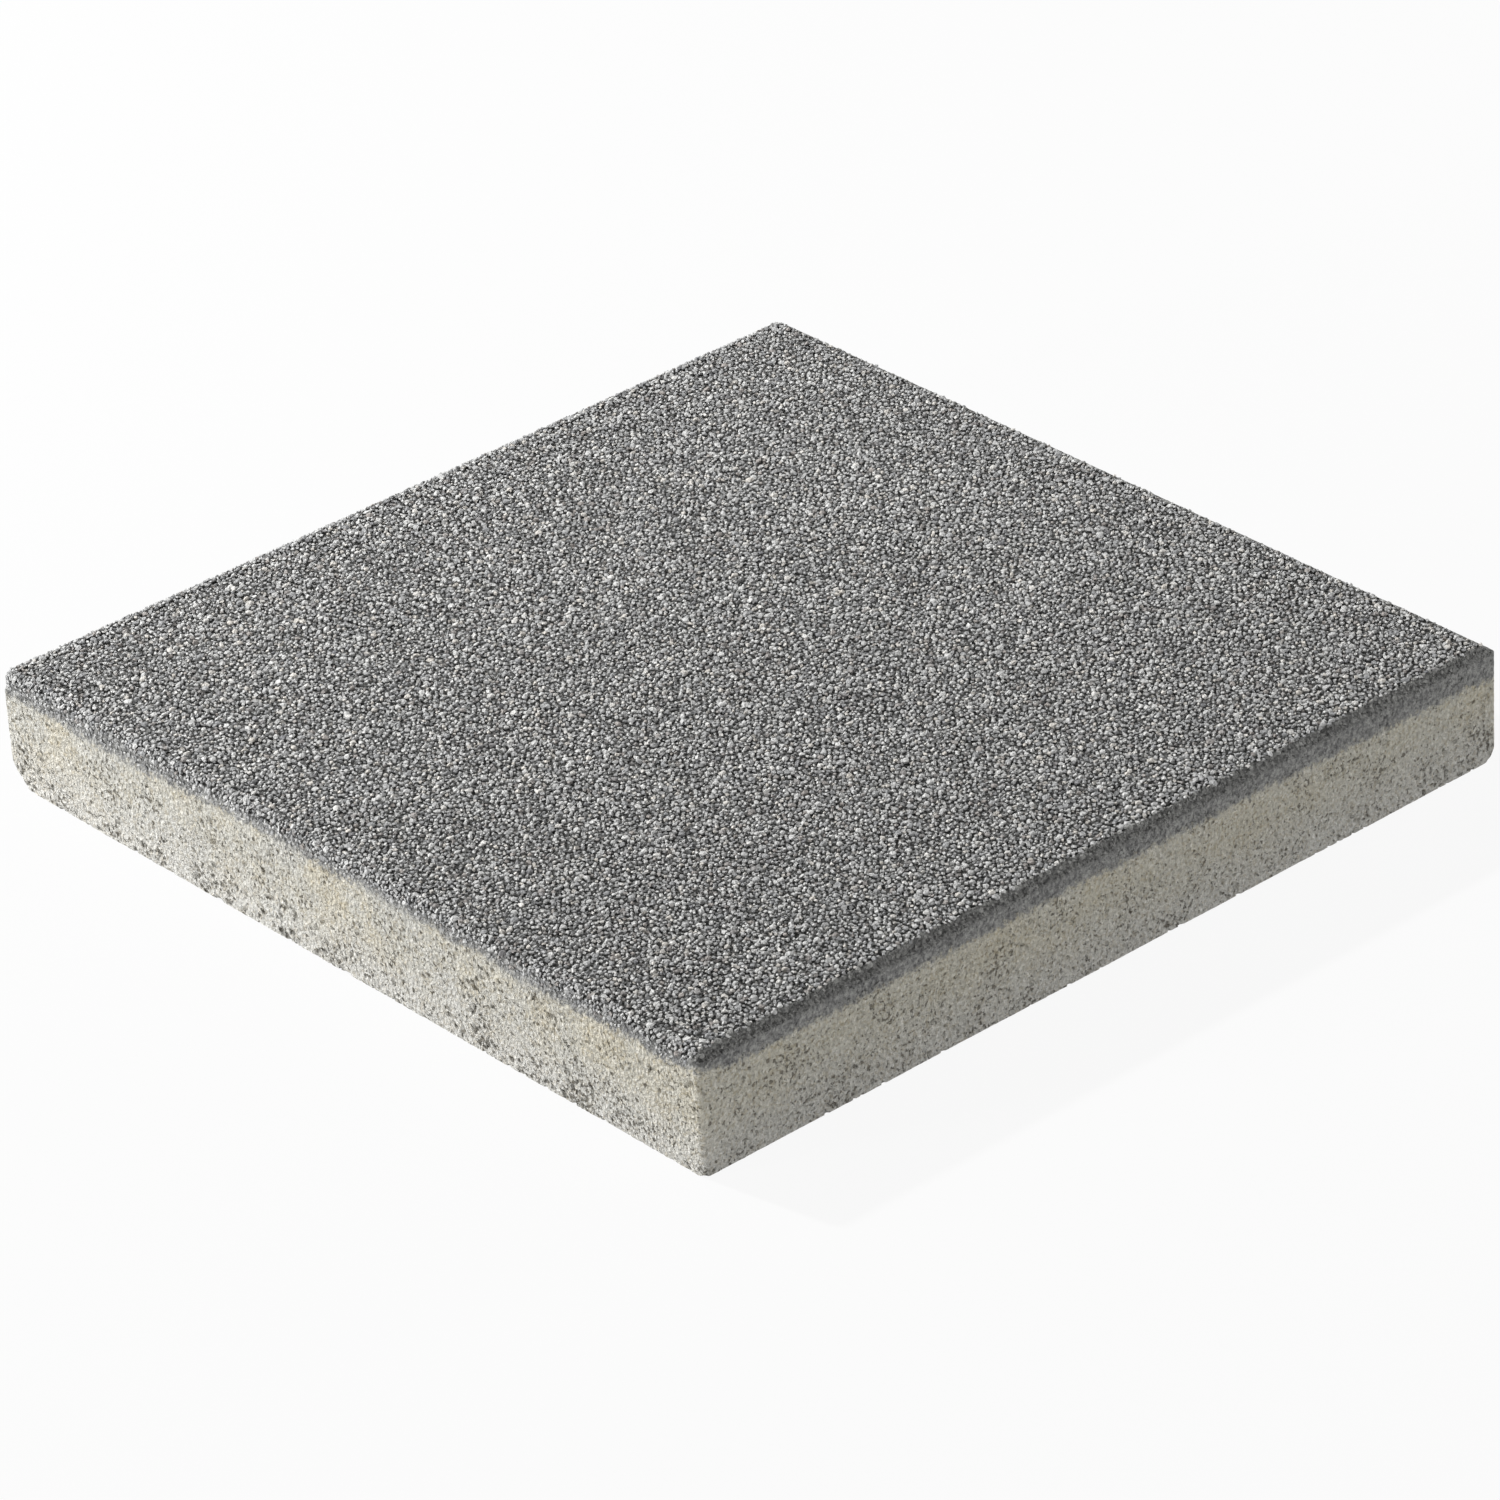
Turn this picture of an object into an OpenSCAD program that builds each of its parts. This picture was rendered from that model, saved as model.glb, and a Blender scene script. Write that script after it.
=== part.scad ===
// Square concrete paving slab, cast in two mixes in one mould and pressed.
// Frame: origin at the middle of the bed face, Z up through the walking face,
// X and Y along the sides. All lengths are in millimetres.

/* [Slab] */
// Length of the slab along X
slab_length = 400; // [200:10:600]
// Width of the slab along Y
slab_width = 400; // [200:10:600]
// Thickness from the bed face to the walking face
slab_thickness = 50; // [35:1:80]

/* [Facing concrete] */
// Thickness of the dark facing mix, its bevel included
facing_thickness = 11; // [8:0.5:25]

/* [Edges] */
// Width of the bevel, measured across the walking face
bevel_run = 4; // [1:0.5:10]
// Drop of the bevel, measured down the side of the slab
bevel_drop = 4; // [1:0.5:7]
// Radius of the four upright corners
corner_radius = 2; // [1:0.5:20]

/* [Hidden] */
$fn = 96;
half_length = slab_length / 2;
half_width = slab_width / 2;
backing_thickness = slab_thickness - facing_thickness;
bevel_foot = slab_thickness - bevel_drop;

// Plan of the mould box: straight sides that meet in rounded upright corners
module mould_plan() {
  square([slab_length, slab_width - 2 * corner_radius], center = true);
  square([slab_length - 2 * corner_radius, slab_width], center = true);
  for (sx = [-1, 1], sy = [-1, 1])
    translate([sx * (half_length - corner_radius), sy * (half_width - corner_radius)])
      circle(r = corner_radius);
}

// Section under the press plate: upright sides, then a bevel up to the walking face
module pressed_section(half_span) {
  polygon([
    [-half_span, backing_thickness],
    [half_span, backing_thickness],
    [half_span, bevel_foot],
    [half_span - bevel_run, slab_thickness],
    [bevel_run - half_span, slab_thickness],
    [-half_span, bevel_foot]
  ]);
}

// Pale backing concrete: the lower body of the slab, flat on its bed face
module backing_layer() {
  color("#C3C1B5")
    linear_extrude(height = backing_thickness)
      mould_plan();
}

// Dark facing concrete: the wearing layer, its bevels mitred at the four corners
module facing_layer() {
  color("#85847F")
    intersection() {
      translate([0, 0, backing_thickness])
        linear_extrude(height = facing_thickness)
          mould_plan();
      rotate([90, 0, 0])
        linear_extrude(height = slab_width, center = true)
          pressed_section(half_length);
      rotate([90, 0, 90])
        linear_extrude(height = slab_length, center = true)
          pressed_section(half_width);
    }
}

backing_layer();
facing_layer();
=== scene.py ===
# Square paving slab of pressed concrete, lying on its bed face on a pale floor.
import math
import random

import bmesh
import bpy
import numpy as np
from mathutils import Matrix, Vector, noise


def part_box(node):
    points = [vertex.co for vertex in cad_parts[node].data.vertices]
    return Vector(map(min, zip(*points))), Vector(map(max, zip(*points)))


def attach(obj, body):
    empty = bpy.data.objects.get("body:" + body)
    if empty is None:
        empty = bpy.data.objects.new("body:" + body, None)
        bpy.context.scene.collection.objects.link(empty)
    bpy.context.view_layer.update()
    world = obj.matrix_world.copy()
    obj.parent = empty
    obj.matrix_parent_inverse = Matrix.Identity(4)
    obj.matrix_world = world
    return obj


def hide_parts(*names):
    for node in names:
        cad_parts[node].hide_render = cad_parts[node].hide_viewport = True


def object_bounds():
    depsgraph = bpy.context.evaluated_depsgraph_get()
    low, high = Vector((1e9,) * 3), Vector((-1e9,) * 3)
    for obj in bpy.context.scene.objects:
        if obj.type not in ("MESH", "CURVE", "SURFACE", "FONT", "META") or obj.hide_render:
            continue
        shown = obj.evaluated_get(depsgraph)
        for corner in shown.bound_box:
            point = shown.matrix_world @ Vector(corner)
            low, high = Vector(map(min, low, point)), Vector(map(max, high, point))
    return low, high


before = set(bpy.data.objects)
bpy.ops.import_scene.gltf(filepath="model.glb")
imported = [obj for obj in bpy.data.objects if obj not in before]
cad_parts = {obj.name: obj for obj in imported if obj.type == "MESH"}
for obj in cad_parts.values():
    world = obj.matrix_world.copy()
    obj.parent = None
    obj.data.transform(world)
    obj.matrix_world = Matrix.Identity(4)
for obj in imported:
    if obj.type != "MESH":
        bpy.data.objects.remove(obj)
cad_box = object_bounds()

# Backing concrete
# The lower body of the slab: a lean, sandy mix, pressed into a steel mould and left as it came out.
# It is pale grey to beige, full of pinholes and open pits, and its arrises crumble along the bed face.
MM = 0.001
SIDE = cad_box[1].x - cad_box[0].x
HALF = SIDE / 2
SEAM_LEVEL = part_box("backing_layer")[1].z
CORNER_RADIUS = 2 * MM
CORNER_STEPS = 4
SIDE_CUTS = (7, 57)
PITCH = (SIDE - 2 * CORNER_RADIUS) / ((SIDE_CUTS[0] + 1) * (SIDE_CUTS[1] + 1))
SEAM_SETBACK = 3 * MM
BED_GRID = 64
BED_BORDER = 6 * MM
WALL_DEPTH = 0.7 * MM
TIDY_EDGE = (HALF - 3 * MM, HALF - MM)
FAR_FROM_SEAM = 20

# Height of the seam between the two mixes, walked round the slab from the corner at -X -Y, in mm.
SEAM_WALK = (
    (0, 39.5), (90, 39.0), (130, 42.2), (200, 42.6), (250, 41.6), (330, 41.3), (388, 42.4), (400, 44.2),
    (406, 43.6), (415, 40.2), (500, 39.7), (680, 39.3), (730, 37.6), (780, 36.8), (797, 35.4), (812, 37.2),
    (900, 39.0), (1040, 40.4), (1200, 39.2), (1350, 40.1), (1500, 38.4), (1600, 39.5),
)

# A streak of deeper pits up the side at -Y: its place on the same walk and its width, in mm.
STREAK_PLACE = 282
STREAK_WIDTH = 9

# The bottom corners that are broken off, how far along their edges, and the seeds of the breaks.
BROKEN_CORNERS = (
    ((-HALF, -HALF, 0), 10 * MM, 10),
    ((HALF, HALF, 0), 5 * MM, 11),
    ((HALF, -HALF, 0), 2.5 * MM, 12),
)


def pick_edges(piece, wanted):
    """Selects, in edit mode, the edges for which wanted(edge) holds, and no others."""
    bpy.ops.mesh.select_mode(type="EDGE")
    bpy.ops.mesh.select_all(action="DESELECT")
    work = bmesh.from_edit_mesh(piece.data)
    for edge in work.edges:
        edge.select_set(wanted(edge))
    bmesh.update_edit_mesh(piece.data)


def level_of(edge):
    """The middle height of an edge."""
    return (edge.verts[0].co.z + edge.verts[1].co.z) / 2


def rise_of(edge):
    """How far an edge climbs."""
    return abs(edge.verts[0].co.z - edge.verts[1].co.z)


def mould_ring(name, level):
    """The mould's outline as a closed ring of short edges at one level, left in edit mode."""
    bpy.ops.object.select_all(action="DESELECT")
    bpy.ops.mesh.primitive_plane_add(size=SIDE)
    piece = bpy.context.object
    piece.name = name
    bpy.ops.object.mode_set(mode="EDIT")
    bpy.ops.mesh.select_all(action="SELECT")
    bpy.ops.mesh.bevel(offset=CORNER_RADIUS, segments=CORNER_STEPS, affect="VERTICES")
    bpy.ops.mesh.delete(type="ONLY_FACE")
    for cuts in SIDE_CUTS:
        pick_edges(piece, lambda edge: edge.calc_length() > 3 * PITCH)
        bpy.ops.mesh.subdivide(number_cuts=cuts)
    bpy.ops.mesh.select_all(action="SELECT")
    bpy.ops.transform.translate(value=(0, 0, level))
    return piece


def open_ring(piece, level):
    """Picks the ring of open edges at a level."""
    pick_edges(piece, lambda edge: len(edge.link_faces) < 2 and abs(level_of(edge) - level) < PITCH / 4)


def raise_ring(piece, level, height, inward=0.0):
    """Extrudes the ring at a level up by height, drawn in on all sides, and cuts the new wall into rows."""
    open_ring(piece, level)
    bpy.ops.mesh.extrude_region_move(TRANSFORM_OT_translate={"value": (0, 0, height)})
    share = (SIDE - 2 * inward) / SIDE
    bpy.ops.transform.resize(value=(share, share, 1), center_override=(0, 0, 0))
    rows = max(1, round(math.hypot(height, inward) / PITCH))
    pick_edges(piece, lambda edge: rise_of(edge) > abs(height) / 2)
    if rows > 1:
        bpy.ops.mesh.subdivide(number_cuts=rows - 1)


def close_with_grid(piece, level, border, cells):
    """Closes the open ring at a level with a square grid, bridged to the ring."""
    bpy.ops.mesh.select_all(action="DESELECT")
    size = SIDE - 2 * border
    bpy.ops.mesh.primitive_grid_add(
        x_subdivisions=cells, y_subdivisions=cells, size=size, location=(0, 0, level))
    open_ring(piece, level)
    bpy.ops.mesh.bridge_edge_loops()


def close_at_seam(piece, level):
    """Closes the open ring at the seam with a flat face set back inside the slab."""
    open_ring(piece, level)
    bpy.ops.mesh.extrude_region_move()
    share = (SIDE - 2 * SEAM_SETBACK) / SIDE
    bpy.ops.transform.resize(value=(share, share, 1), center_override=(0, 0, 0))
    bpy.ops.mesh.edge_face_add()
    bpy.ops.mesh.select_all(action="SELECT")
    bpy.ops.mesh.normals_make_consistent(inside=False)
    bpy.ops.object.mode_set(mode="OBJECT")


def points_of(piece):
    """The piece's points as an array of rows x, y, z."""
    flat = np.zeros(len(piece.data.vertices) * 3)
    piece.data.vertices.foreach_get("co", flat)
    return flat.reshape(-1, 3)


def move_points(piece, points):
    """Puts the piece's points where the array says."""
    piece.data.vertices.foreach_set("co", points.ravel())
    piece.data.update()


def mark(piece, name, values):
    """Keeps one number for each point, for the material to read."""
    layer = piece.data.attributes.new(name, "FLOAT", "POINT")
    layer.data.foreach_set("value", np.asarray(values, dtype=np.float32))


def smooth(low, high, values):
    """Goes softly from 0 at low to 1 at high."""
    share = np.clip((values - low) / (high - low), 0, 1)
    return share * share * (3 - 2 * share)


def lumps(points, size, seed, tall=1.0):
    """Soft random relief from about -1 to 1, in lumps of that size, stretched upwards by tall."""
    shift = Vector((17.3 * seed, 5.1 * seed, 9.7 * seed))
    scale = np.array((1, 1, 1 / tall)) / size
    return np.array([noise.noise(Vector(p) + shift) for p in points * scale])


def rim_of(points):
    """How far each point lies from the slab's axis, measured square to the nearest side."""
    return np.max(np.abs(points[:, :2]), axis=1)


def side_way(points):
    """The level way straight out of the mould's side, or out of its rounded corner, at each point."""
    core = HALF - CORNER_RADIUS
    over = np.column_stack((points[:, :2] - np.clip(points[:, :2], -core, core), np.zeros(len(points))))
    return over / np.maximum(np.linalg.norm(over, axis=1), MM * MM)[:, None]


def walk_of(points):
    """How far round the slab each point lies, from the corner at -X -Y, in mm."""
    x, y = points[:, 0], points[:, 1]
    along_front = x + HALF
    along_right = SIDE + y + HALF
    along_back = 2 * SIDE + HALF - x
    along_left = 3 * SIDE + HALF - y
    sides = np.stack((y + HALF, HALF - x, HALF - y, x + HALF))
    nearest = np.argmin(sides, axis=0)
    return np.choose(nearest, (along_front, along_right, along_back, along_left)) / MM


def tidy_side(points):
    """1 on the side at +X, which came cleaner out of the mould than the others, and 0 elsewhere."""
    return smooth(*TIDY_EDGE, points[:, 0])


def seam_height(points):
    """Height of the seam at each point's place round the slab, less ragged on the tidy side."""
    places, levels = zip(*SEAM_WALK)
    flat = points * (1, 1, 0)
    ragged = 1.8 * lumps(flat, 14 * MM, 31) + 0.9 * lumps(flat, 5 * MM, 32)
    return (np.interp(walk_of(points), places, levels) + ragged * (1 - 0.6 * tidy_side(points))) * MM


def bend_to_seam(piece, fixed_level):
    """Stretches the wall between a fixed level and the flat seam so that it ends at the wavy seam."""
    points = points_of(piece)
    rim = rim_of(points) > HALF - SEAM_SETBACK / 2
    lift = seam_height(points) - SEAM_LEVEL
    share = np.clip((points[:, 2] - fixed_level) / (SEAM_LEVEL - fixed_level), 0, 1)
    points[:, 2] += np.where(rim, lift * share, 0)
    move_points(piece, points)


def cast_relief(points):
    """Relief of a cast side in mm, the same in both mixes: waves of the mould, clusters of sand, grains."""
    waves = 0.2 * lumps(points, 45 * MM, 1)
    clusters = 0.07 * lumps(points, 5 * MM, 2)
    grains = 0.1 * lumps(points, 2 * MM, 3)
    return waves + clusters + grains - 0.1


def chip(points, corner, size, seed):
    """Breaks a corner off along a rough slanting face that meets its edges about that far from it."""
    corner = np.array(corner)
    outward = np.sign(corner - (0, 0, SEAM_LEVEL / 2)) / math.sqrt(3)
    rough = 0.1 * size * lumps(points, 0.5 * size, seed)
    over = (points - corner) @ outward + size / math.sqrt(3) + rough
    soft = 0.12 * size
    cut = (over + np.sqrt(over * over + soft * soft)) / 2
    return points - np.where(over > -2 * size, cut, 0)[:, None] * outward


# Layout for painting, in shares of the slab's side, and how a level face is told from a side.
SHEET = 1.55
STRIP_STEP, STRIP_GAP, STRIP_SCALE = 0.12, 0.01, 0.8
HIDDEN_PLACE, HIDDEN_SCALE = 1.1, 0.1
LEVEL_TILT = 0.9
STRIP_DEPTH = 3.5 * MM


def unfold(piece):
    """Lays the faces of the still plain piece out flat for painting: the level ones as a square, the sides
    and the bevel in strips above it, and the hidden ones on the seam small beside it."""
    mesh = piece.data
    sizes = np.zeros(len(mesh.polygons), dtype=int)
    mesh.polygons.foreach_get("loop_total", sizes)
    ways = np.zeros(len(mesh.polygons) * 3)
    mesh.polygons.foreach_get("normal", ways)
    ways = np.repeat(ways.reshape(-1, 3), sizes, axis=0)
    middles = np.zeros(len(mesh.polygons) * 3)
    mesh.polygons.foreach_get("center", middles)
    middles = np.repeat(middles.reshape(-1, 3), sizes, axis=0)
    corners = np.zeros(len(mesh.loops), dtype=int)
    mesh.loops.foreach_get("vertex_index", corners)
    spots = points_of(piece)[corners]
    x, y = spots[:, 0] + HALF, spots[:, 1] + HALF
    nearest = np.argmax(np.stack((-middles[:, 1], middles[:, 0], middles[:, 1], -middles[:, 0])), axis=0)
    inset = HALF - np.choose(nearest, (-spots[:, 1], spots[:, 0], spots[:, 1], -spots[:, 0]))
    along = np.choose(nearest, (x, y, x, y))
    strip = SIDE + (STRIP_STEP * nearest + STRIP_GAP) * SIDE
    flat = np.stack((along, strip + STRIP_SCALE * (spots[:, 2] + inset)), axis=1)
    level = (np.abs(ways[:, 2]) > LEVEL_TILT) | (rim_of(middles) < HALF - STRIP_DEPTH)
    hidden = level & (np.abs(middles[:, 2] - SEAM_LEVEL) < MM)
    square = np.stack((x, y), axis=1)
    flat = np.where(level[:, None], square, flat)
    flat = np.where(hidden[:, None], HIDDEN_SCALE * square + (HIDDEN_PLACE * SIDE, 0), flat)
    layer = mesh.uv_layers.new(name="OFBake")
    layer.data.foreach_set("uv", (flat / (SHEET * SIDE)).astype(np.float32).ravel())


backing = mould_ring("backing_layer_cast", 0)
raise_ring(backing, 0, SEAM_LEVEL)
close_with_grid(backing, 0, BED_BORDER, BED_GRID)
close_at_seam(backing, SEAM_LEVEL)
unfold(backing)
bend_to_seam(backing, 0)

# Pits open where the grain rises above least: most near the bed, in patches and at the streak.
points = points_of(backing)
height = points[:, 2]
wall = rim_of(points) > HALF - WALL_DEPTH
bed = ~wall & (height < PITCH)
below_seam = seam_height(points) - height
low = 1 - smooth(3 * MM, 24 * MM, height)
streak = np.exp(-((walk_of(points) - STREAK_PLACE) / STREAK_WIDTH) ** 2)
grainy = lumps(points, 2.5 * MM, 4) + 0.7 * lumps(points, 1.5 * MM, 5)
patchy = lumps(points, 24 * MM, 6, tall=1.6)
tidy = tidy_side(points)
least = 0.6 - 0.2 * low - 0.3 * patchy - 0.25 * streak - 0.15 * tidy * patchy + 0.06 * tidy
pits = smooth(least, least + 0.18, grainy) * smooth(0.5 * MM, 4 * MM, below_seam)
ragged = (1 - smooth(0, 2 * MM, height)) * (0.1 + 0.3 * smooth(0.0, 0.6, lumps(points, 2.5 * MM, 7)))
nibbled = (1 - smooth(0, 3 * MM, height)) * smooth(0.35, 0.6, lumps(points, 7 * MM, 8))
depth = (0.7 + 0.3 * low + 0.4 * streak) * pits * (1 - 0.2 * tidy)
relief = cast_relief(points) - depth - (ragged + 0.25 * nibbled) * (1 - 0.7 * tidy)
out = np.where(wall[:, None], side_way(points), np.where(bed[:, None], (0, 0, -1), 0))
relief[bed] = np.minimum(0, relief[bed])
shaped = points + out * relief[:, None] * MM
for corner, size, seed in BROKEN_CORNERS:
    shaped = chip(shaped, corner, size, seed)
shaped[:, 2] = np.maximum(shaped[:, 2], 0)
move_points(backing, shaped)
mark(backing, "void", np.clip(depth, 0, 1))
mark(backing, "above_seam", np.where(wall, -below_seam / MM, -FAR_FROM_SEAM))


def linear(colour):
    """A colour written as sRGB hex, in the linear values that shaders take."""
    parts = [int(colour[i:i + 2], 16) / 255 for i in (1, 3, 5)]
    return [c / 12.92 if c <= 0.04045 else ((c + 0.055) / 1.055) ** 2.4 for c in parts] + [1]


# Sockets of a colour mix, which share their names with those of its other kinds.
MIX_A, MIX_B, MIX_OUT = 6, 7, 2

# Heights between which a cast side coarsens towards the bed.
FINE_LEVEL, COARSE_LEVEL = 36 * MM, 4 * MM


def add(tree, kind, inputs=None, stops=None, **settings):
    """Adds a node with its settings, links or fills its inputs, and sets a ramp's stops."""
    made = tree.nodes.new(kind)
    for name, value in settings.items():
        setattr(made, name, value)
    for name, value in (inputs or {}).items():
        if isinstance(value, bpy.types.NodeSocket):
            tree.links.new(value, made.inputs[name])
        else:
            made.inputs[name].default_value = value
    for i, (place, colour) in enumerate(stops or ()):
        ramp = made.color_ramp.elements
        stop = ramp[i] if i < 2 else ramp.new(place)
        stop.position = place
        stop.color = linear(colour)
    return made


def new_material(name):
    """An empty material with its shader, and the place on the piece that its patterns read."""
    material = bpy.data.materials.new(name)
    material.use_nodes = True
    tree = material.node_tree
    shader = tree.nodes["Principled BSDF"]
    place = add(tree, "ShaderNodeTexCoord").outputs["Object"]
    return material, tree, shader, place


def open_pits(tree, place, size, least):
    """1 inside the ragged pits that air leaves in a lean mix, 0 elsewhere; fewer with a higher least."""
    lumpy = add(tree, "ShaderNodeTexNoise",
                {"Vector": place, "Scale": 1 / size, "Detail": 3, "Roughness": 0.65})
    patch = add(tree, "ShaderNodeTexNoise", {"Vector": place, "Scale": 1 / (18 * MM), "Detail": 2})
    swing = add(tree, "ShaderNodeMapRange", {0: patch.outputs["Fac"], 1: 0.3, 2: 0.7, 3: -0.08, 4: 0.06})
    deep = add(tree, "ShaderNodeMath", {0: lumpy.outputs["Fac"], 1: swing.outputs[0]}, operation="ADD")
    spot = add(tree, "ShaderNodeSeparateXYZ", {0: place})
    low = add(tree, "ShaderNodeMapRange",
              {0: spot.outputs["Z"], 1: FINE_LEVEL, 2: COARSE_LEVEL, 3: 0, 4: 0.03})
    lower = add(tree, "ShaderNodeMath", {0: deep.outputs[0], 1: low.outputs[0]}, operation="ADD")
    return add(tree, "ShaderNodeMapRange", {0: lower.outputs[0], 1: least, 2: least + 0.06}).outputs[0]


def air_pores(tree, place, cell, share):
    """1 inside the small pores that air bubbles leave in that share of the cells, in patches."""
    wobble = add(tree, "ShaderNodeTexNoise", {"Vector": place, "Scale": 1 / (1.2 * MM), "Detail": 2})
    shifted = add(tree, "ShaderNodeVectorMath", {0: wobble.outputs["Color"], 1: (1.4 * MM,) * 3, 2: place},
                  operation="MULTIPLY_ADD")
    cells = add(tree, "ShaderNodeTexVoronoi", {"Vector": shifted.outputs[0], "Scale": 1 / cell})
    draw = add(tree, "ShaderNodeSeparateColor", {"Color": cells.outputs["Color"]})
    radius = add(tree, "ShaderNodeMapRange", {0: draw.outputs["Red"], 1: 1 - share, 2: 1, 3: 0.1, 4: 0.36})
    drawn = add(tree, "ShaderNodeMath", {0: draw.outputs["Red"], 1: 1 - share}, operation="GREATER_THAN")
    patch = add(tree, "ShaderNodeTexNoise", {"Vector": place, "Scale": 1 / (16 * MM), "Detail": 2})
    swing = add(tree, "ShaderNodeMapRange", {0: patch.outputs["Fac"], 1: 0.35, 2: 0.65, 3: 0.1, 4: 1.2})
    here = add(tree, "ShaderNodeMath", {0: drawn.outputs[0], 1: swing.outputs[0]}, operation="MULTIPLY")
    wide = add(tree, "ShaderNodeMath", {0: radius.outputs[0], 1: here.outputs[0]}, operation="MULTIPLY")
    within = add(tree, "ShaderNodeMath", {0: wide.outputs[0], 1: cells.outputs["Distance"]},
                 operation="SUBTRACT")
    return add(tree, "ShaderNodeMapRange", {0: within.outputs[0], 1: 0, 2: 0.07}).outputs[0]


def backing_colour(tree, place):
    """Sandy backing mix: beige and grey drifts, greyer towards the bed, and sand grains of several tints."""
    drift = add(tree, "ShaderNodeTexNoise",
                {"Vector": place, "Scale": 1 / (30 * MM), "Detail": 4, "Roughness": 0.66})
    body = add(tree, "ShaderNodeValToRGB", {"Fac": drift.outputs["Fac"]},
               stops=((0.38, "#C0C0BB"), (0.64, "#C9C0A8"), (0.5, "#C5C3B9")))
    spot = add(tree, "ShaderNodeSeparateXYZ", {0: place})
    end = add(tree, "ShaderNodeMapRange", {0: spot.outputs["X"], 1: 0.5 * HALF, 2: HALF, 3: 0, 4: 0.5})
    warmed = add(tree, "ShaderNodeMix",
                 {0: end.outputs[0], MIX_A: body.outputs[0], MIX_B: linear("#C8C1A9")}, data_type="RGBA")
    low = add(tree, "ShaderNodeMapRange", {0: spot.outputs["Z"], 1: 28 * MM, 2: 3 * MM, 3: 0, 4: 0.85})
    greyed = add(tree, "ShaderNodeMix", {0: low.outputs[0], MIX_A: warmed.outputs[MIX_OUT],
                                         MIX_B: linear("#E4E4E2")}, data_type="RGBA")
    sand = add(tree, "ShaderNodeTexVoronoi", {"Vector": place, "Scale": 1 / (1.1 * MM)})
    tint = add(tree, "ShaderNodeSeparateColor", {"Color": sand.outputs["Color"]})
    grains = add(tree, "ShaderNodeValToRGB", {"Fac": tint.outputs["Red"]},
                 stops=((0.0, "#857D6D"), (1.0, "#E5E3DD"), (0.12, "#B2A892"), (0.3, "#BDBAB1"),
                        (0.85, "#CAC8BF")))
    sanded = add(tree, "ShaderNodeMix", {0: 0.55, MIX_A: greyed.outputs[MIX_OUT], MIX_B: grains.outputs[0]},
                 data_type="RGBA")
    cloud = add(tree, "ShaderNodeTexNoise",
                {"Vector": place, "Scale": 1 / (1.6 * MM), "Detail": 2, "Roughness": 0.7})
    shade = add(tree, "ShaderNodeMapRange", {0: cloud.outputs["Fac"], 1: 0.3, 2: 0.7, 3: 0.76, 4: 1.2})
    toned = add(tree, "ShaderNodeMix", {0: 1.0, MIX_A: sanded.outputs[MIX_OUT], MIX_B: shade.outputs[0]},
                data_type="RGBA", blend_type="MULTIPLY")
    return toned.outputs[MIX_OUT]


# Heights between which the grey of the facing's sides gives way to the paste of the bevel.
BAND_LOW, BAND_HIGH = 45.2 * MM, 46.4 * MM


def facing_colour(tree, place):
    """Dark facing mix of cement paste and fine sand: grey on the sides, darker on the bevel, and darker
    again on the washed face between the chippings and high on the worn sides, where painted shade is laid
    over the paste's own dark grey."""
    cloud = add(tree, "ShaderNodeTexNoise",
                {"Vector": place, "Scale": 1 / (1.7 * MM), "Detail": 3, "Roughness": 0.62})
    side = add(tree, "ShaderNodeValToRGB", {"Fac": cloud.outputs["Fac"]},
               stops=((0.34, "#6C6C6C"), (0.66, "#ACACA9")))
    bevel = add(tree, "ShaderNodeValToRGB", {"Fac": cloud.outputs["Fac"]},
                stops=((0.34, "#636362"), (0.66, "#9A9A97")))
    # Painted shade: the paste washed back between the chippings and on the worn edges is a darker grey than
    # the paste elsewhere, standing for the shade that falls between the chippings.
    shaded_paste = add(tree, "ShaderNodeValToRGB", {"Fac": cloud.outputs["Fac"]},
               stops=((0.34, "#454544"), (0.66, "#6E6E6C")))
    washed = add(tree, "ShaderNodeAttribute", attribute_name="washed")
    above = add(tree, "ShaderNodeMix", {0: washed.outputs["Fac"], MIX_A: bevel.outputs[0],
                                        MIX_B: shaded_paste.outputs[0]}, data_type="RGBA")
    spot = add(tree, "ShaderNodeSeparateXYZ", {0: place})
    wander = add(tree, "ShaderNodeMapRange",
                 {0: cloud.outputs["Fac"], 1: 0.3, 2: 0.7, 3: -0.7 * MM, 4: 0.7 * MM})
    ragged = add(tree, "ShaderNodeMath", {0: spot.outputs["Z"], 1: wander.outputs[0]}, operation="ADD")
    rise = add(tree, "ShaderNodeMapRange", {0: ragged.outputs[0], 1: BAND_LOW, 2: BAND_HIGH})
    paste = add(tree, "ShaderNodeMix", {0: rise.outputs[0], MIX_A: side.outputs[0],
                                        MIX_B: above.outputs[MIX_OUT]}, data_type="RGBA")
    return paste.outputs[MIX_OUT]


def seam_share(tree, place):
    """1 in the facing mix and 0 in the backing mix, with a speckled band where grains of both mingle."""
    above = add(tree, "ShaderNodeAttribute", attribute_name="above_seam")
    fray = add(tree, "ShaderNodeTexNoise",
               {"Vector": place, "Scale": 1 / (2.2 * MM), "Detail": 4, "Roughness": 0.65})
    swing = add(tree, "ShaderNodeMapRange", {0: fray.outputs["Fac"], 1: 0.25, 2: 0.75, 3: -3, 4: 3})
    sum_up = add(tree, "ShaderNodeMath", {0: above.outputs["Fac"], 1: swing.outputs[0]}, operation="ADD")
    return add(tree, "ShaderNodeMapRange", {0: sum_up.outputs[0], 1: -1.5, 2: 0.9}).outputs[0]


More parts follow.
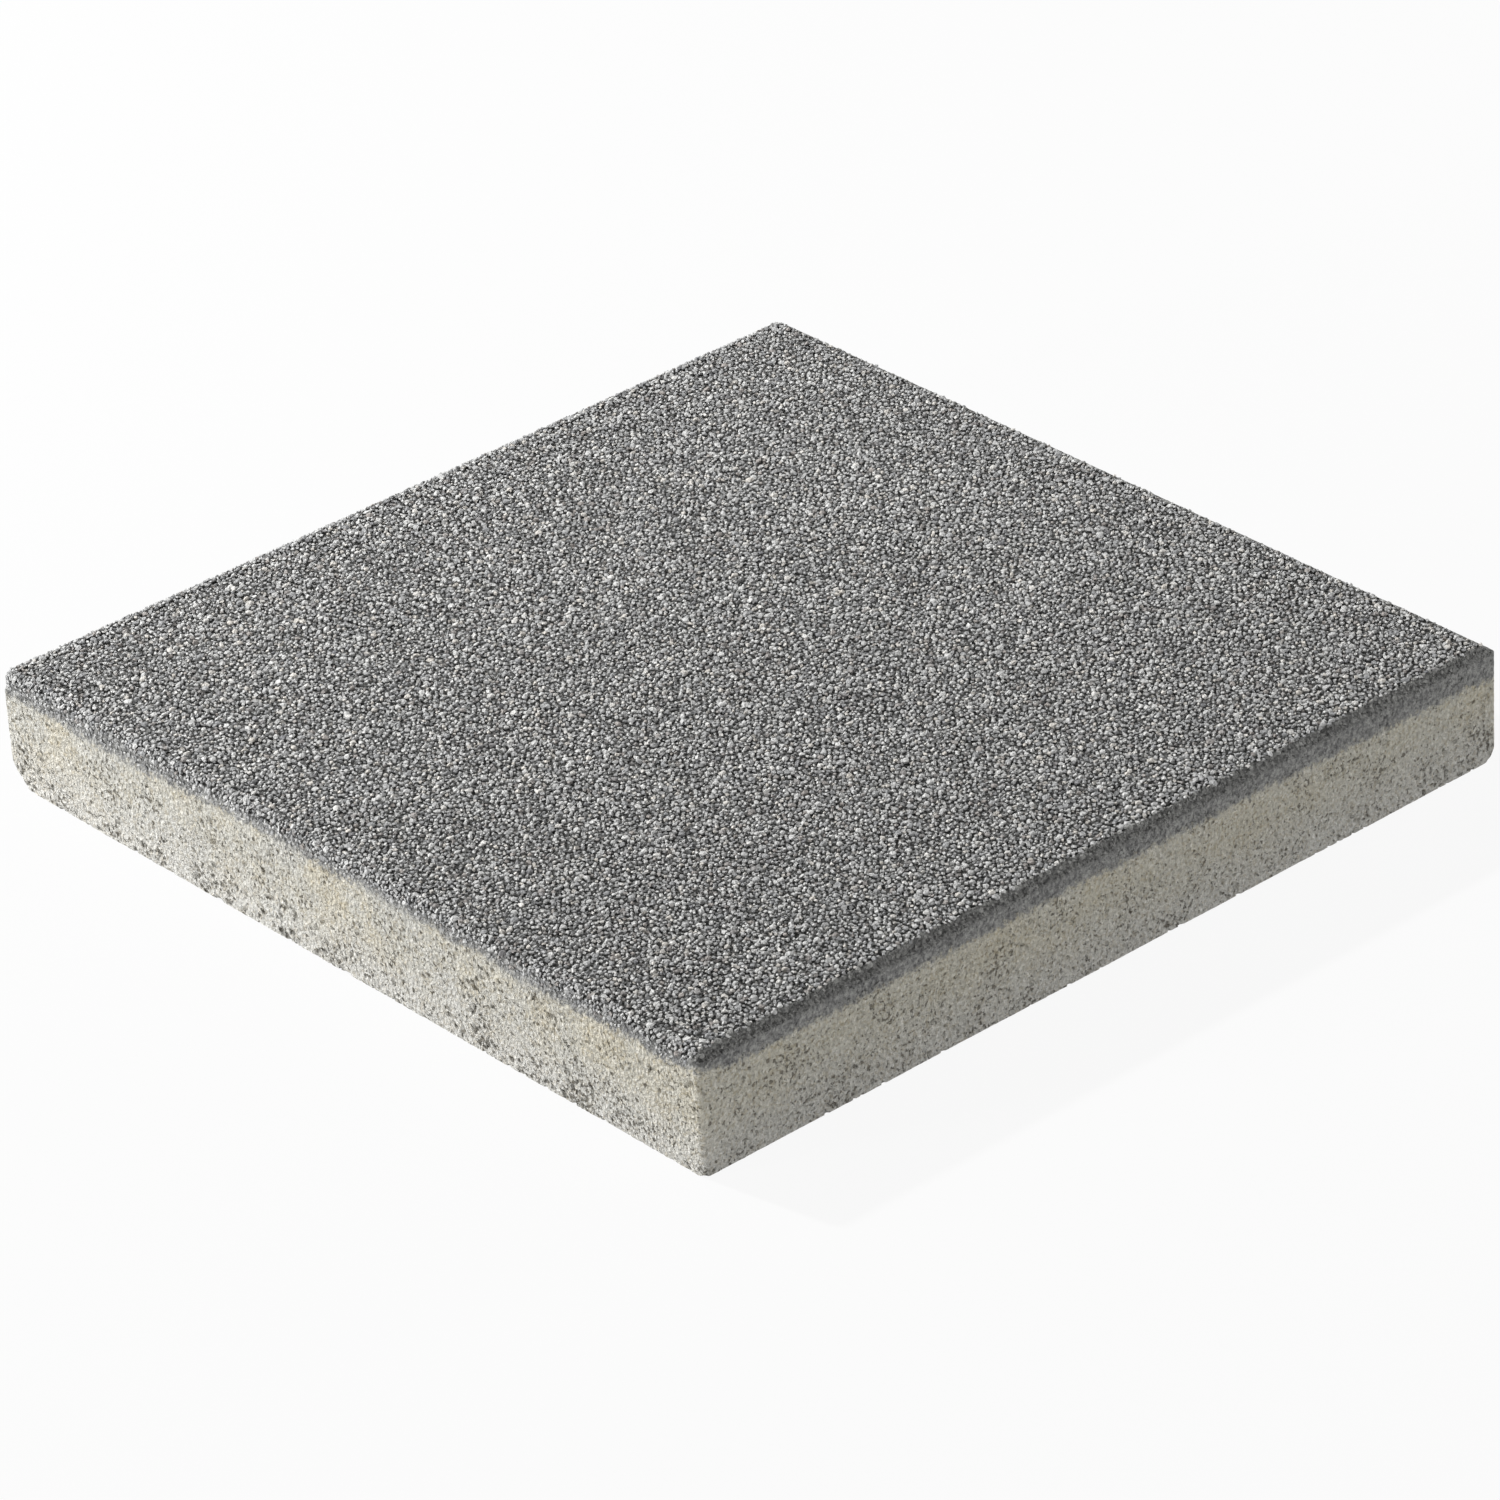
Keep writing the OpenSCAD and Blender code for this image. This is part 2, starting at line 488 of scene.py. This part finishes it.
def gritty(tree, place, pits, pit_depth, grit_depth):
    """Height in mm of a cast concrete skin: its sand grains, coarser towards the bed, and its pits."""
    sand = add(tree, "ShaderNodeTexNoise",
               {"Vector": place, "Scale": 1 / (1.6 * MM), "Detail": 2, "Roughness": 0.5})
    spot = add(tree, "ShaderNodeSeparateXYZ", {0: place})
    depth = add(tree, "ShaderNodeMapRange",
                {0: spot.outputs["Z"], 1: FINE_LEVEL, 2: COARSE_LEVEL, 3: grit_depth, 4: 1.3 * grit_depth})
    raised = add(tree, "ShaderNodeMath", {0: sand.outputs["Fac"], 1: depth.outputs[0]}, operation="MULTIPLY")
    sunk = add(tree, "ShaderNodeMath", {0: pits, 1: pit_depth}, operation="MULTIPLY")
    skin = add(tree, "ShaderNodeMath", {0: raised.outputs[0], 1: sunk.outputs[0]}, operation="SUBTRACT")
    return skin.outputs[0]


def dress(tree, shader, colour, height, roughness=0.9):
    """A matt mineral skin: its colour, and its grit as heights in mm."""
    tree.links.new(colour, shader.inputs["Base Color"])
    shader.inputs["Roughness"].default_value = roughness
    shader.inputs["Specular IOR Level"].default_value = 0.3
    bump = add(tree, "ShaderNodeBump", {"Height": height, "Distance": MM, "Strength": 1.0})
    tree.links.new(bump.outputs[0], shader.inputs["Normal"])


# Lean concrete as it came from the mould: matt and sandy to the touch, with painted shade in its holes: pits
# and pores are darkened towards a brownish dark grey.
sandy_concrete, tree, shader, place = new_material("sandy backing concrete, as cast")
ragged_pits = open_pits(tree, place, 1.8 * MM, 0.6)
pores = air_pores(tree, place, 2.6 * MM, 0.24)
pits = add(tree, "ShaderNodeMath", {0: ragged_pits, 1: pores}, operation="MAXIMUM").outputs[0]
# Painted shade: the deeper the pits of the mesh, and inside the bump's pits and pores, the nearer the colour
# goes to a brownish dark grey, a little less on the tidy side at +X.
void = add(tree, "ShaderNodeAttribute", attribute_name="void")
shaded = add(tree, "ShaderNodeMath", {0: void.outputs["Fac"], 1: 0.5}, operation="MULTIPLY")
spot = add(tree, "ShaderNodeSeparateXYZ", {0: place})
shallow = add(tree, "ShaderNodeMapRange",
              {0: spot.outputs["X"], 1: TIDY_EDGE[0], 2: TIDY_EDGE[1], 3: 0.85, 4: 0.75})
shaded_pits = add(tree, "ShaderNodeMath", {0: pits, 1: shallow.outputs[0]}, operation="MULTIPLY")
pit_shade = add(tree, "ShaderNodeMath", {0: shaded_pits.outputs[0], 1: shaded.outputs[0]}, operation="MAXIMUM")
pit_shaded_colour = add(tree, "ShaderNodeMix", {0: pit_shade.outputs[0], MIX_A: backing_colour(tree, place),
                                     MIX_B: linear("#5A5447")}, data_type="RGBA")
mingled = add(tree, "ShaderNodeMix", {0: seam_share(tree, place), MIX_A: pit_shaded_colour.outputs[MIX_OUT],
                                      MIX_B: facing_colour(tree, place)}, data_type="RGBA")
dress(tree, shader, mingled.outputs[MIX_OUT], gritty(tree, place, pits, 0.6, 2.0))
backing.data.materials.append(sandy_concrete)
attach(backing, "root")
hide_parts("backing_layer")

# Facing concrete
# The dark wearing mix, pressed on top of the backing in the same mould. Its sides and bevel keep the
# cement skin, and on the walking face the paste is washed back between the chippings.
TOP = cad_box[1].z
BEVEL = 4 * MM
BEVEL_FOOT = TOP - BEVEL
BEVEL_LIP = 0.5 * MM
LIP_INWARD = 0.8 * MM
WASHED = 1.8 * MM
TOP_GRID = 120
TOP_BORDER = BEVEL + 2.5 * MM

facing = mould_ring("facing_layer_cast", SEAM_LEVEL)
raise_ring(facing, SEAM_LEVEL, BEVEL_FOOT - SEAM_LEVEL)
raise_ring(facing, BEVEL_FOOT, BEVEL - BEVEL_LIP, inward=BEVEL - BEVEL_LIP)
raise_ring(facing, TOP - BEVEL_LIP, BEVEL_LIP - WASHED, inward=LIP_INWARD)
close_with_grid(facing, TOP - WASHED, TOP_BORDER, TOP_GRID)
close_at_seam(facing, SEAM_LEVEL)
unfold(facing)
bend_to_seam(facing, BEVEL_FOOT)

points = points_of(facing)
rim = rim_of(points)
height = points[:, 2]
wall = (rim > HALF - WALL_DEPTH) & (height < BEVEL_FOOT + PITCH / 4)
inside = (rim < HALF - SEAM_SETBACK / 2) & (height < BEVEL_FOOT - PITCH)
sloped = ~wall & ~inside & (rim > HALF - BEVEL - MM)
level = ~wall & ~sloped
slope_way = np.zeros((len(points), 3))
flush = np.abs(points[:, :2]) > rim[:, None] - MM
slope_way[:, :2] = np.sign(points[:, :2]) * flush
slope_way[:, 2] = 1
slope_way /= np.linalg.norm(slope_way, axis=1)[:, None]
out = np.where(wall[:, None], side_way(points), np.where(sloped[:, None], slope_way, (0, 0, 1)))

# The worn sides at -X and -Y lie deeper than the others, so that the chippings there stand clear.
relief = cast_relief(points)
pocked = smooth(0.3, 0.7, lumps(points, 2.6 * MM, 23) + 0.5 * lumps(points, 1.5 * MM, 24))
clear_of_seam = smooth(0.3 * MM, 3 * MM, height - seam_height(points))
worn = np.min(points[:, :2], axis=1) < -HALF + BEVEL
relief -= (0.3 * pocked + worn) * clear_of_seam * wall
recess = 0.6 + 0.6 * worn + 0.3 * smooth(-0.3, 0.5, lumps(points, 3 * MM, 25))
relief -= recess * smooth(0, 2.5 * MM, height - BEVEL_FOOT) * sloped
relief[level] += 0.3 * lumps(points[level], 4 * MM, 26)
relief[inside] = 0
move_points(facing, points + out * relief[:, None] * MM)
mark(facing, "above_seam", np.where(wall, (height - seam_height(points)) / MM, FAR_FROM_SEAM))
# The washed face and the worn edges: there the material paints the paste darker, as shade between the
# chippings.
mark(facing, "washed", ~inside & (level | worn))

# Dense cement paste with fine sand: matt dark grey, closed and smooth where the mould touched it, with
# painted shade darkening its pits.
dense_concrete, tree, shader, place = new_material("dark facing concrete, pressed and washed")
pits = open_pits(tree, place, 1.8 * MM, 0.59)
# Painted shade: the pits are darkened towards a near-black grey.
shaded_pits = add(tree, "ShaderNodeMath", {0: pits, 1: 0.6}, operation="MULTIPLY")
pit_shaded_colour = add(tree, "ShaderNodeMix", {0: shaded_pits.outputs[0], MIX_A: facing_colour(tree, place),
                                     MIX_B: linear("#3E3E3C")}, data_type="RGBA")
mingled = add(tree, "ShaderNodeMix", {0: seam_share(tree, place), MIX_A: backing_colour(tree, place),
                                      MIX_B: pit_shaded_colour.outputs[MIX_OUT]}, data_type="RGBA")
dress(tree, shader, mingled.outputs[MIX_OUT], gritty(tree, place, pits, 0.5, 2.8))
facing.data.materials.append(dense_concrete)
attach(facing, "root")
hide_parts("facing_layer")

# Chippings
# Crushed hard stone in four grades, close together in the facing paste with their heads washed clear.
# At the worn edges, -X and -Y, they run over the edge and a little down the side.
# Each row: name, knobbly or plain, how many, smallest and largest size, least and most depth below the face.
GRADES = (
    ("coarse_chippings", True, 3500, 2.4 * MM, 3.3 * MM, 0.0 * MM, 0.5 * MM),
    ("medium_chippings_a", False, 16000, 1.8 * MM, 2.5 * MM, 0.0 * MM, 0.6 * MM),
    ("medium_chippings_b", False, 16000, 1.5 * MM, 2.1 * MM, 0.2 * MM, 1.0 * MM),
    ("fine_chippings", False, 16000, 1.1 * MM, 1.6 * MM, 0.6 * MM, 1.4 * MM),
)
SHAPES = 12
FIRST_SHAPE_SEED = 40
SWELL, SWELL_SIZE = 0.45, 0.9
KNOBS = (0.76, 1.14)
STRETCH = (0.75, 1.2)
TRIES = 40
CELL = 2.2 * MM
CLOSENESS = 0.78
EDGE_ROUND = 4 * MM
EDGE_TURN = EDGE_ROUND * math.pi / 2
HANG = 7 * MM
PRESSED_FLAT = 0.25
BEVEL_WIDTH = BEVEL * math.sqrt(2)
BEVEL_SINK = 0.2 * MM
LIP_SINK = 0.1 * MM
LIP_BAND = 2 * MM
LEAN = 0.1
WORN_SINK_SHARE = 0.5
# Share of its grey that a chipping over the worn edges keeps: painted shade.
WORN_EDGE_SHADE_SHARE = 0.75
COATED = 0.03
FIELD_LOW = -(HALF - EDGE_ROUND) - EDGE_TURN - HANG
FIELD_HIGH = HALF - BEVEL + BEVEL_WIDTH
lot = random.Random(7)
dice = np.random.default_rng(7)
taken = {}


def run_over(x, y):
    """How far a place of the flat field lies past the start of the worn edges."""
    return math.hypot(min(0, x + HALF - EDGE_ROUND), min(0, y + HALF - EDGE_ROUND))


def in_field(x, y):
    """True where a chipping may lie: they thin out down the bevels and below the worn edges."""
    down_bevel = (max(x, y) - (HALF - BEVEL)) / BEVEL_WIDTH
    down_side = (run_over(x, y) - EDGE_TURN) / HANG
    return lot.random() > max(3 * down_bevel - 2, down_side)


def fits(x, y, radius):
    """True if a chipping has room there among those already placed."""
    column, row = int(x // CELL), int(y // CELL)
    for i in range(column - 2, column + 3):
        for j in range(row - 2, row + 3):
            for other_x, other_y, other_radius in taken.get((i, j), ()):
                room = CLOSENESS * (radius + other_radius)
                if (x - other_x) ** 2 + (y - other_y) ** 2 < room * room:
                    return False
    return True


def place_grade(count, smallest, largest):
    """Drops chippings of one grade into the room that is left, as (x, y, radius) on the flat field."""
    placed = []
    for _ in range(TRIES * count):
        if len(placed) == count:
            break
        x, y = lot.uniform(FIELD_LOW, FIELD_HIGH), lot.uniform(FIELD_LOW, FIELD_HIGH)
        radius = lot.uniform(smallest, largest) / 2
        if in_field(x, y) and fits(x, y, radius):
            placed.append((x, y, radius))
            taken.setdefault((int(x // CELL), int(y // CELL)), []).append((x, y, radius))
    return np.array(placed)


def fold_over(flat):
    """Folds places of the flat field round the worn edges and down the bevels of the other two:
    points on the slab's face, and the ways out of it."""
    past = np.minimum(flat + HALF - EDGE_ROUND, 0)
    run = np.hypot(past[:, 0], past[:, 1])
    turn = np.clip(run / EDGE_ROUND, 0, math.pi / 2)
    sideways = past / np.maximum(run, MM * MM)[:, None] * np.sin(turn)[:, None]
    out = np.column_stack((sideways, np.cos(turn)))
    spots = np.column_stack((flat - past, np.full(len(flat), TOP - EDGE_ROUND))) + EDGE_ROUND * out
    spots[:, 2] -= np.maximum(run - EDGE_TURN, 0)
    for axis in (0, 1):
        slid = np.maximum(flat[:, axis] - (HALF - BEVEL), 0) / math.sqrt(2)
        spots[:, axis] -= slid * (math.sqrt(2) - 1)
        spots[:, 2] -= slid
        out[:, axis] += slid > 0
    return spots, out / np.linalg.norm(out, axis=1)[:, None]


def broken_stones(knobbly):
    """Broken stones of unit radius, from a ball of 20 sides or a cube: their points and shared faces."""
    bpy.ops.object.select_all(action="DESELECT")
    if knobbly:
        bpy.ops.mesh.primitive_ico_sphere_add(subdivisions=1, radius=1)
    else:
        bpy.ops.mesh.primitive_cube_add(size=2 / math.sqrt(3))
    body = bpy.context.object
    bpy.ops.object.mode_set(mode="EDIT")
    bpy.ops.mesh.select_all(action="SELECT")
    bpy.ops.mesh.quads_convert_to_tris()
    bpy.ops.object.mode_set(mode="OBJECT")
    faces = np.array([face.vertices[:] for face in body.data.polygons])
    whole = points_of(body)
    bpy.data.objects.remove(body)
    stones = []
    for shape in range(SHAPES):
        swell = 1 + SWELL * lumps(whole, SWELL_SIZE, FIRST_SHAPE_SEED + shape)[:, None]
        knobs = dice.uniform(*KNOBS, (len(whole), 1))
        stones.append(whole * swell * knobs * dice.uniform(*STRETCH, 3))
    return np.array(stones), faces


def turned(count):
    """Random turns as matrices."""
    a, b, c, d = dice.normal(size=(4, count))
    size = np.sqrt(a * a + b * b + c * c + d * d)
    a, b, c, d = a / size, b / size, c / size, d / size
    return np.array((
        (1 - 2 * (c * c + d * d), 2 * (b * c - a * d), 2 * (b * d + a * c)),
        (2 * (b * c + a * d), 1 - 2 * (b * b + d * d), 2 * (c * d - a * b)),
        (2 * (b * d - a * c), 2 * (c * d + a * b), 1 - 2 * (b * b + c * c)),
    )).transpose(2, 0, 1)


def unfold_stones(mesh, count, sides):
    """Lays every stone's faces out for painting, as small triangles in a square of its own."""
    columns = math.ceil(math.sqrt(count))
    across = math.ceil(math.sqrt(sides))
    stone, face = np.divmod(np.arange(count * sides), sides)
    column = stone % columns + face % across / across
    row = stone // columns + face // across / across
    origin = np.stack((column, row), axis=1)
    corner = np.array(((0.1, 0.1), (0.9, 0.1), (0.1, 0.9))) / across
    flat = (origin[:, None] + corner[None]) / columns
    mesh.uv_layers.new(name="OFBake").data.foreach_set("uv", flat.astype(np.float32).ravel())


# Crushed hard stone: each has its own grey, a few are pale or brownish, cement dulls those on the bevel, and
# those over the worn edges get painted shade, a darker grey that offsets the side lamp's light on them.
stone_mix, tree, shader, place = new_material("crushed stone chippings, washed")
tone = add(tree, "ShaderNodeAttribute", attribute_name="tone")
kind = add(tree, "ShaderNodeValToRGB", {"Fac": tone.outputs["Fac"]},
           stops=((0.0, "#9A9A97"), (1.0, "#E4E3E0"), (COATED, "#86878A"), (0.08, "#ABA5A0"),
                  (0.14, "#9D9E9F"), (0.5, "#C7C7C6"), (0.88, "#DDDDDB"), (0.94, "#D8D3CB")))
speck = add(tree, "ShaderNodeTexNoise",
            {"Vector": place, "Scale": 1 / (0.7 * MM), "Detail": 1, "Roughness": 0.65})
dust = add(tree, "ShaderNodeMapRange", {0: speck.outputs["Fac"], 1: 0.3, 2: 0.7, 3: 0.92, 4: 1.08})
speckled = add(tree, "ShaderNodeMix", {0: 1.0, MIX_A: kind.outputs[0], MIX_B: dust.outputs[0]},
               data_type="RGBA", blend_type="MULTIPLY")
rough = add(tree, "ShaderNodeMath", {0: speck.outputs["Fac"], 1: 0.5}, operation="MULTIPLY")
dress(tree, shader, speckled.outputs[MIX_OUT], rough.outputs[0], roughness=0.6)

for name, knobbly, count, smallest, largest, shallow, deep in GRADES:
    placed = place_grade(count, smallest, largest)
    stones, faces = broken_stones(knobbly)
    pick = dice.integers(SHAPES, size=len(placed))
    bodies = np.einsum("nij,npj->npi", turned(len(placed)), stones[pick]) * placed[:, 2][:, None, None]
    spots, out = fold_over(placed[:, :2])
    rise = np.einsum("npi,ni->np", bodies, out)
    bodies -= PRESSED_FLAT * rise[:, :, None] * out[:, None]
    heads = (1 - PRESSED_FLAT) * rise.max(axis=1)
    sunk = dice.uniform(shallow, deep, len(placed))
    on_bevel = np.max(out[:, :2], axis=1) > LEAN
    on_worn_edge = np.min(out[:, :2], axis=1) < -LEAN
    near_lip = placed[:, :2].max(axis=1) > HALF - BEVEL - LIP_BAND
    on_face = np.where(on_worn_edge, WORN_SINK_SHARE * sunk, sunk + LIP_SINK * near_lip)
    sunk = np.where(on_bevel, sunk + BEVEL_SINK, on_face)
    bodies += (spots - out * (heads + sunk)[:, None])[:, None]
    bodies = np.clip(bodies, (-HALF, -HALF, 0), (HALF, HALF, TOP))
    starts = np.arange(len(placed)) * stones.shape[1]
    mesh = bpy.data.meshes.new(name)
    mesh.from_pydata(bodies.reshape(-1, 3), [], (faces[None] + starts[:, None, None]).reshape(-1, 3))
    heap = bpy.data.objects.new(name, mesh)
    bpy.context.scene.collection.objects.link(heap)
    tones = dice.uniform(COATED, 1, len(placed))
    # Painted shade: chippings over the worn edges take darker greys.
    tones = np.where(on_worn_edge, COATED + WORN_EDGE_SHADE_SHARE * (tones - COATED), tones)
    tones = np.where(on_bevel, 0, tones)
    mark(heap, "tone", np.repeat(tones, stones.shape[1]))
    unfold_stones(mesh, len(placed), len(faces))
    mesh.materials.append(stone_mix)
    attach(heap, "root")

# Floor, light and camera
# The slab lies on a white paper sweep. A small key lamp rakes over it from the left, weak low lamps light
# its other sides, and the camera looks down on its corner at +X -Y.
FLOOR_SIZE = 14.0
FLOOR_GLOW = 0.92


def seen_directly(tree):
    """1 for what the camera sees, also mirrored or through glass, and 0 for light on its way to the slab."""
    path = add(tree, "ShaderNodeLightPath").outputs
    mirrored = add(tree, "ShaderNodeMath", {0: path["Is Glossy Ray"], 1: path["Is Transmission Ray"]},
                   operation="MAXIMUM")
    direct = add(tree, "ShaderNodeMath", {0: path["Is Camera Ray"], 1: mirrored.outputs[0]},
                 operation="MAXIMUM")
    return direct.outputs[0]


# Matt paper, bright enough to the eye to pass for a white ground, with a faint shadow on it.
bpy.ops.object.select_all(action="DESELECT")
bpy.ops.mesh.primitive_plane_add(size=FLOOR_SIZE)
floor = bpy.context.object
floor.name = "floor"
white_sweep, tree, shader, place = new_material("white paper sweep")
shader.inputs["Base Color"].default_value = linear("#CCCCCC")
shader.inputs["Roughness"].default_value = 1.0
glow = add(tree, "ShaderNodeEmission", {"Strength": 1.0})
seen = add(tree, "ShaderNodeMath", {0: seen_directly(tree), 1: FLOOR_GLOW}, operation="MULTIPLY")
blend = add(tree, "ShaderNodeMixShader", {0: seen.outputs[0], 1: shader.outputs[0], 2: glow.outputs[0]})
tree.links.new(blend.outputs[0], tree.nodes["Material Output"].inputs["Surface"])
floor.data.materials.append(white_sweep)

FILL = 0.09
world = bpy.data.worlds.new("studio")
bpy.context.scene.world = world
world.use_nodes = True
sky = world.node_tree
level = add(sky, "ShaderNodeMapRange", {0: seen_directly(sky), 3: FILL, 4: 1.0})
sky.links.new(level.outputs[0], sky.nodes["Background"].inputs["Strength"])
sky.nodes["Background"].inputs["Color"].default_value = (1, 1, 1, 1)


def lamp(name, place, size, level):
    """A square soft lamp aimed at the slab, as bright there as the level says: 1 shows white as white."""
    light = bpy.data.lights.new(name, "AREA")
    light.size = size
    light.energy = level * (math.pi * Vector(place).length) ** 2
    holder = bpy.data.objects.new(name, light)
    bpy.context.scene.collection.objects.link(holder)
    holder.location = place
    holder.rotation_mode = "QUATERNION"
    holder.rotation_quaternion = Vector(place).to_track_quat("Z", "Y")


lamp("key lamp", (-1.54, -0.54, 1.44), 0.09, 1.15)
lamp("side lamp", (-0.6, -2.05, 0.32), 0.3, 0.54)
lamp("fill lamp", (1.95, 0.1, 0.24), 0.35, 0.29)
lamp("back lamp", (0.2, 1.7, 0.45), 0.4, 0.34)

LENS_IN_PIXELS = 7799.96
PHOTO_WIDTH = 1500
FILM_WIDTH = 36
FARTHEST = 50
AZIMUTH, ELEVATION, ROLL = (math.radians(a) for a in (49.8577, 30.0369, -3.3654))
DISTANCE = 2.96468
AIM_RIGHT, AIM_UP = 0.00064, 0.00744
view = bpy.data.cameras.new("camera")
view.sensor_width = FILM_WIDTH
view.lens = LENS_IN_PIXELS * view.sensor_width / PHOTO_WIDTH
view.clip_end = FARTHEST
camera = bpy.data.objects.new("camera", view)
bpy.context.scene.collection.objects.link(camera)
level_share = math.cos(ELEVATION)
back = Vector((math.sin(AZIMUTH) * level_share, -math.cos(AZIMUTH) * level_share, math.sin(ELEVATION)))
right = Vector((math.cos(AZIMUTH), math.sin(AZIMUTH), 0))
up = back.cross(right)
spot = right * AIM_RIGHT + up * AIM_UP + back * DISTANCE
rolled_right = right * math.cos(ROLL) + up * math.sin(ROLL)
rolled_up = up * math.cos(ROLL) - right * math.sin(ROLL)
turn = Matrix((rolled_right, rolled_up, back)).transposed().to_4x4()
camera.matrix_world = Matrix.Translation(spot) @ turn
bpy.context.scene.camera = camera
bpy.context.scene.view_settings.view_transform = "Standard"
